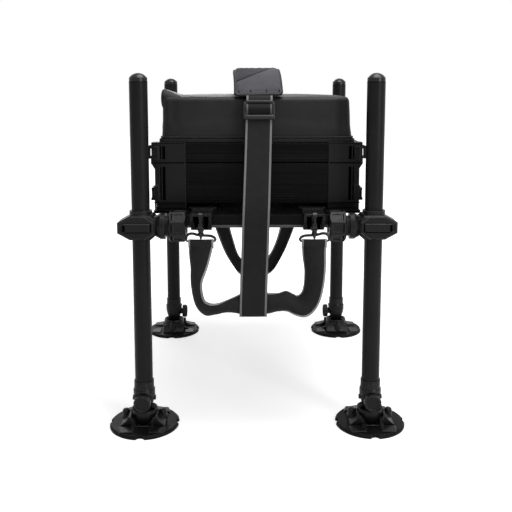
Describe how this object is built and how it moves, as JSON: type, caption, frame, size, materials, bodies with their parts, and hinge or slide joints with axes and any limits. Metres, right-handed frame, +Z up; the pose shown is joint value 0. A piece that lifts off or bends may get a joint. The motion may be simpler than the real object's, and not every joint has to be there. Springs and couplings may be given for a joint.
{
  "type": "fishing seat box",
  "caption": "Seat box for anglers: padded seat over two drawers on a frame with round legs that slide in screw clamps, swivel feet and a carrying harness.",
  "frame": {"origin": "on the ground, under the centre of the box", "axes": "+X to the front, where the drawers open, +Y to the sitter's left, +Z up"},
  "size_m": [0.606, 0.711, 0.735],
  "materials": {
    "leg_satin_black": "satin black anodised tube with a black end cap",
    "foot_plastic": "fine-grained black moulding",
    "ball_steel": "blackened steel",
    "knob_plastic": "semi-matte black moulding",
    "clamp_black": "semi-matte black powder coat",
    "hardware_black": "black coated wire and castings",
    "liner_plastic": "plain black plastic",
    "frame_black": "black anodised extrusion",
    "bolt_steel": "plain steel",
    "moulding_black": "satin black moulding",
    "casing_black": "matte black sheet",
    "panel_black": "ribbed black extrusion",
    "runner_plastic": "smooth black plastic",
    "drawer_black": "matte black moulding",
    "clip_plastic": "satin black moulding",
    "vinyl_black": "soft black vinyl-coated fabric with fine grain, over foam",
    "pad_fabric": "grey brushed fabric over foam",
    "webbing_black": "black woven webbing with light edges",
    "buckle_plastic": "satin black moulding"
  },
  "bodies": {
    "frame": {"side_rails": "frame_black", "cross_bars": "frame_black", "base_platform": "frame_black", "clamp_liners": "liner_plastic", "strap_brackets": "moulding_black", "snap_hooks": "hardware_black", "frame_bolts": "bolt_steel", "harness_rings": "hardware_black", "lower_casing": "casing_black", "lower_corner_mouldings": "moulding_black", "lower_side_panels": "panel_black", "drawer_runners": "runner_plastic", "upper_casing": "casing_black", "upper_corner_mouldings": "moulding_black", "upper_side_panels": "panel_black", "right_yoke": "webbing_black", "left_yoke": "webbing_black", "clamp_housing_front_left": "clamp_black", "clamp_housing_front_right": "clamp_black", "clamp_housing_rear_left": "clamp_black", "clamp_housing_rear_right": "clamp_black"},
    "leg_body_front_left": {"leg_front_left": "leg_satin_black", "foot_sleeve_front_left": "foot_plastic"},
    "ball_body_front_left": {"foot_ball_front_left": "ball_steel"},
    "disc_body_front_left": {"foot_disc_front_left": "foot_plastic"},
    "screw_body_front_left": {"foot_screw_front_left": "knob_plastic"},
    "nut_body_front_left": {"clamp_nut_front_left": "knob_plastic"},
    "gate_body_front_left": {"hook_gate_front_left": "hardware_black"},
    "leg_body_front_right": {"leg_front_right": "leg_satin_black", "foot_sleeve_front_right": "foot_plastic"},
    "ball_body_front_right": {"foot_ball_front_right": "ball_steel"},
    "disc_body_front_right": {"foot_disc_front_right": "foot_plastic"},
    "screw_body_front_right": {"foot_screw_front_right": "knob_plastic"},
    "nut_body_front_right": {"clamp_nut_front_right": "knob_plastic"},
    "gate_body_front_right": {"hook_gate_front_right": "hardware_black"},
    "leg_body_rear_left": {"leg_rear_left": "leg_satin_black", "foot_sleeve_rear_left": "foot_plastic"},
    "ball_body_rear_left": {"foot_ball_rear_left": "ball_steel"},
    "disc_body_rear_left": {"foot_disc_rear_left": "foot_plastic"},
    "screw_body_rear_left": {"foot_screw_rear_left": "knob_plastic"},
    "nut_body_rear_left": {"clamp_nut_rear_left": "knob_plastic"},
    "gate_body_rear_left": {"hook_gate_rear_left": "hardware_black"},
    "leg_body_rear_right": {"leg_rear_right": "leg_satin_black", "foot_sleeve_rear_right": "foot_plastic"},
    "ball_body_rear_right": {"foot_ball_rear_right": "ball_steel"},
    "disc_body_rear_right": {"foot_disc_rear_right": "foot_plastic"},
    "screw_body_rear_right": {"foot_screw_rear_right": "knob_plastic"},
    "nut_body_rear_right": {"clamp_nut_rear_right": "knob_plastic"},
    "gate_body_rear_right": {"hook_gate_rear_right": "hardware_black"},
    "front_lower_clips_body": {"front_lower_clips": "clip_plastic"},
    "front_upper_clips_body": {"front_upper_clips": "clip_plastic"},
    "rear_lower_clips_body": {"rear_lower_clips": "clip_plastic"},
    "rear_upper_clips_body": {"rear_upper_clips": "clip_plastic"},
    "lower_drawer_body": {"lower_drawer": "drawer_black"},
    "upper_drawer_body": {"upper_drawer": "drawer_black"},
    "seat_body": {"seat_base": "moulding_black", "seat_cushion": "vinyl_black", "shoulder_pad": "pad_fabric", "main_strap": "webbing_black", "strap_buckle": "buckle_plastic"}
  },
  "joints": [
    {"name": "front_left_leg_slide", "type": "slide", "parent": "frame", "child": "leg_body_front_left", "axis": [0, 0, 1], "range_m": [-0.24, 0.28]},
    {"name": "front_left_foot_pitch", "type": "hinge", "parent": "leg_body_front_left", "child": "ball_body_front_left", "pos_m": [0.2325, 0.285, 0.0195], "axis": [1, 0, 0], "range_deg": [-15, 15]},
    {"name": "front_left_foot_roll", "type": "hinge", "parent": "ball_body_front_left", "child": "disc_body_front_left", "pos_m": [0.2325, 0.285, 0.0195], "axis": [0, 1, 0], "range_deg": [-15, 15]},
    {"name": "front_left_foot_screw_turn", "type": "hinge", "parent": "leg_body_front_left", "child": "screw_body_front_left", "pos_m": [0.2325, 0.285, 0.057], "axis": [-1, 0, 0], "continuous": true},
    {"name": "front_left_clamp_nut_turn", "type": "hinge", "parent": "frame", "child": "nut_body_front_left", "pos_m": [0.1585, 0.285, 0.415], "axis": [1, 0, 0], "continuous": true},
    {"name": "front_left_hook_gate_turn", "type": "hinge", "parent": "frame", "child": "gate_body_front_left", "pos_m": [0.111, 0.3265, 0.42505], "axis": [1, 0, 0], "range_deg": [0, 24], "stiffness_Nm_per_rad": 0.02, "springref_deg": -5.73},
    {"name": "front_right_leg_slide", "type": "slide", "parent": "frame", "child": "leg_body_front_right", "axis": [0, 0, 1], "range_m": [-0.24, 0.28]},
    {"name": "front_right_foot_pitch", "type": "hinge", "parent": "leg_body_front_right", "child": "ball_body_front_right", "pos_m": [0.2325, -0.285, 0.0195], "axis": [1, 0, 0], "range_deg": [-15, 15]},
    {"name": "front_right_foot_roll", "type": "hinge", "parent": "ball_body_front_right", "child": "disc_body_front_right", "pos_m": [0.2325, -0.285, 0.0195], "axis": [0, 1, 0], "range_deg": [-15, 15]},
    {"name": "front_right_foot_screw_turn", "type": "hinge", "parent": "leg_body_front_right", "child": "screw_body_front_right", "pos_m": [0.2325, -0.285, 0.057], "axis": [0, -1, 0], "continuous": true},
    {"name": "front_right_clamp_nut_turn", "type": "hinge", "parent": "frame", "child": "nut_body_front_right", "pos_m": [0.1585, -0.285, 0.415], "axis": [1, 0, 0], "continuous": true},
    {"name": "front_right_hook_gate_turn", "type": "hinge", "parent": "frame", "child": "gate_body_front_right", "pos_m": [0.111, -0.3265, 0.42505], "axis": [-1, 0, 0], "range_deg": [0, 24], "stiffness_Nm_per_rad": 0.02, "springref_deg": -5.73},
    {"name": "rear_left_leg_slide", "type": "slide", "parent": "frame", "child": "leg_body_rear_left", "axis": [0, 0, 1], "range_m": [-0.24, 0.28]},
    {"name": "rear_left_foot_pitch", "type": "hinge", "parent": "leg_body_rear_left", "child": "ball_body_rear_left", "pos_m": [-0.2325, 0.285, 0.0195], "axis": [1, 0, 0], "range_deg": [-15, 15]},
    {"name": "rear_left_foot_roll", "type": "hinge", "parent": "ball_body_rear_left", "child": "disc_body_rear_left", "pos_m": [-0.2325, 0.285, 0.0195], "axis": [0, 1, 0], "range_deg": [-15, 15]},
    {"name": "rear_left_foot_screw_turn", "type": "hinge", "parent": "leg_body_rear_left", "child": "screw_body_rear_left", "pos_m": [-0.2325, 0.285, 0.057], "axis": [1, 0, 0], "continuous": true},
    {"name": "rear_left_clamp_nut_turn", "type": "hinge", "parent": "frame", "child": "nut_body_rear_left", "pos_m": [-0.1585, 0.285, 0.415], "axis": [1, 0, 0], "continuous": true},
    {"name": "rear_left_hook_gate_turn", "type": "hinge", "parent": "frame", "child": "gate_body_rear_left", "pos_m": [-0.111, 0.3265, 0.42505], "axis": [1, 0, 0], "range_deg": [0, 24], "stiffness_Nm_per_rad": 0.02, "springref_deg": -5.73},
    {"name": "rear_right_leg_slide", "type": "slide", "parent": "frame", "child": "leg_body_rear_right", "axis": [0, 0, 1], "range_m": [-0.24, 0.28]},
    {"name": "rear_right_foot_pitch", "type": "hinge", "parent": "leg_body_rear_right", "child": "ball_body_rear_right", "pos_m": [-0.2325, -0.285, 0.0195], "axis": [1, 0, 0], "range_deg": [-15, 15]},
    {"name": "rear_right_foot_roll", "type": "hinge", "parent": "ball_body_rear_right", "child": "disc_body_rear_right", "pos_m": [-0.2325, -0.285, 0.0195], "axis": [0, 1, 0], "range_deg": [-15, 15]},
    {"name": "rear_right_foot_screw_turn", "type": "hinge", "parent": "leg_body_rear_right", "child": "screw_body_rear_right", "pos_m": [-0.2325, -0.285, 0.057], "axis": [0, -1, 0], "continuous": true},
    {"name": "rear_right_clamp_nut_turn", "type": "hinge", "parent": "frame", "child": "nut_body_rear_right", "pos_m": [-0.1585, -0.285, 0.415], "axis": [1, 0, 0], "continuous": true},
    {"name": "rear_right_hook_gate_turn", "type": "hinge", "parent": "frame", "child": "gate_body_rear_right", "pos_m": [-0.111, -0.3265, 0.42505], "axis": [-1, 0, 0], "range_deg": [0, 24], "stiffness_Nm_per_rad": 0.02, "springref_deg": -5.73},
    {"name": "front_lower_clips_turn", "type": "hinge", "parent": "frame", "child": "front_lower_clips_body", "pos_m": [0.2172, 0, 0.4805], "axis": [0, -1, 0], "range_deg": [0, 95]},
    {"name": "front_upper_clips_turn", "type": "hinge", "parent": "frame", "child": "front_upper_clips_body", "pos_m": [0.2237, 0, 0.5675], "axis": [0, -1, 0], "range_deg": [0, 95]},
    {"name": "rear_lower_clips_turn", "type": "hinge", "parent": "frame", "child": "rear_lower_clips_body", "pos_m": [-0.2172, 0, 0.4805], "axis": [0, 1, 0], "range_deg": [0, 95]},
    {"name": "rear_upper_clips_turn", "type": "hinge", "parent": "frame", "child": "rear_upper_clips_body", "pos_m": [-0.2237, 0, 0.5675], "axis": [0, 1, 0], "range_deg": [0, 95]},
    {"name": "lower_drawer_slide", "type": "slide", "parent": "frame", "child": "lower_drawer_body", "axis": [1, 0, 0], "range_m": [0, 0.3]},
    {"name": "upper_drawer_slide", "type": "slide", "parent": "frame", "child": "upper_drawer_body", "axis": [1, 0, 0], "range_m": [0, 0.3]},
    {"name": "seat_lift", "type": "slide", "parent": "frame", "child": "seat_body", "axis": [0, 0, 1], "range_m": [0, 0.06], "deforming": ["right_yoke", "left_yoke"]}
  ]
}
